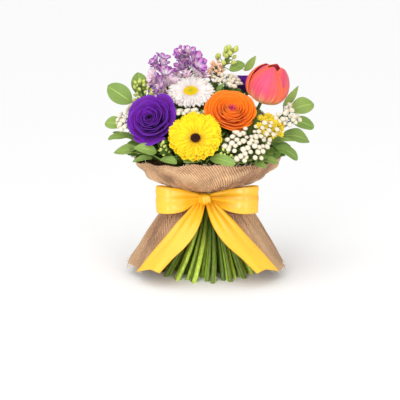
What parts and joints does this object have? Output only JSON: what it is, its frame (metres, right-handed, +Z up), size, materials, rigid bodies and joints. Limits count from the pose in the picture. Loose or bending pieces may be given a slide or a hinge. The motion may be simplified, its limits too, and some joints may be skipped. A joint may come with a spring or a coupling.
{
  "type": "mixed flower bouquet",
  "caption": "Hand-tied bouquet of mixed garden flowers, fillers and leaves in a flared burlap wrap with a satin bow, standing on its cut stems.",
  "frame": {"origin": "on the surface the bouquet stands on, at the middle of the centre stem's cut end", "axes": "+Z up, the front with the bow towards -Y, +X to the right seen from the front"},
  "size_m": [0.306, 0.2559, 0.3414],
  "materials": {
    "stem": "smooth green stem, paler ribs, darker towards the tie",
    "leaf": "matte leaf with a pale midrib and fine side veins",
    "gerbera_yellow": "velvety ribbed ray petals",
    "gerbera_white": "velvety ribbed ray petals with a faint pink shade",
    "gerbera_eye": "rough dark disc of small florets",
    "daisy_eye": "rough golden disc of small florets",
    "purple_petal": "velvety deep violet petals, darker in the folds",
    "orange_petal": "thin satiny petals, paler at the rims",
    "tulip_petal": "waxy coral petals with orange rims and a pale foot",
    "freesia_petal": "thin lilac and white petals with darker veins",
    "button_floret": "creamy small double heads",
    "yellow_filler": "fluffy yellow clusters",
    "bud": "smooth closed buds, pale green",
    "peach_floret": "soft closed florets",
    "burlap": "coarse open plain weave of jute with frayed edges",
    "satin": "glossy golden yellow satin with gathers at the knot",
    "twine": "rough natural jute string"
  },
  "bodies": {
    "root": {"white_gerbera_front": "gerbera_white", "white_gerbera_front_eye": "daisy_eye", "white_gerbera_front_stem": "stem", "orange_ranunculus_front": "orange_petal", "orange_ranunculus_front_stem": "stem", "purple_lisianthus_left": "purple_petal", "purple_lisianthus_left_stem": "stem", "yellow_gerbera_front": "gerbera_yellow", "yellow_gerbera_front_eye": "gerbera_eye", "yellow_gerbera_front_stem": "stem", "tulip_right": "tulip_petal", "tulip_right_stem": "stem", "purple_lisianthus_back": "purple_petal", "purple_lisianthus_back_stem": "stem", "white_gerbera_back": "gerbera_white", "white_gerbera_back_eye": "daisy_eye", "white_gerbera_back_stem": "stem", "tulip_back": "tulip_petal", "tulip_back_stem": "stem", "orange_ranunculus_back": "orange_petal", "orange_ranunculus_back_stem": "stem", "yellow_gerbera_back": "gerbera_yellow", "yellow_gerbera_back_eye": "gerbera_eye", "yellow_gerbera_back_stem": "stem", "burlap_wrap": "burlap", "satin_ribbon_bow": "satin", "twine_binding": "twine", "leafy_left_upper": "leaf", "leafy_left_middle": "leaf", "leafy_left_lower": "leaf", "leafy_front": "leaf", "leafy_front_right": "leaf", "leafy_right_lower": "leaf", "leafy_right_upper": "leaf", "leafy_back_right": "leaf", "leafy_back": "leaf", "leafy_back_left": "leaf", "freesia_left": "freesia_petal", "freesia_middle": "freesia_petal", "buds_top": "bud", "buds_left": "bud", "buds_left_front": "bud", "buds_front": "bud", "snapdragon_peach": "peach_floret", "solidago_right": "yellow_filler", "buttons_top": "button_floret", "buttons_middle": "button_floret", "buttons_front_right": "button_floret", "buttons_left": "button_floret", "buttons_right": "button_floret", "buttons_back_right": "button_floret", "buttons_back_left": "button_floret"}
  },
  "joints": []
}
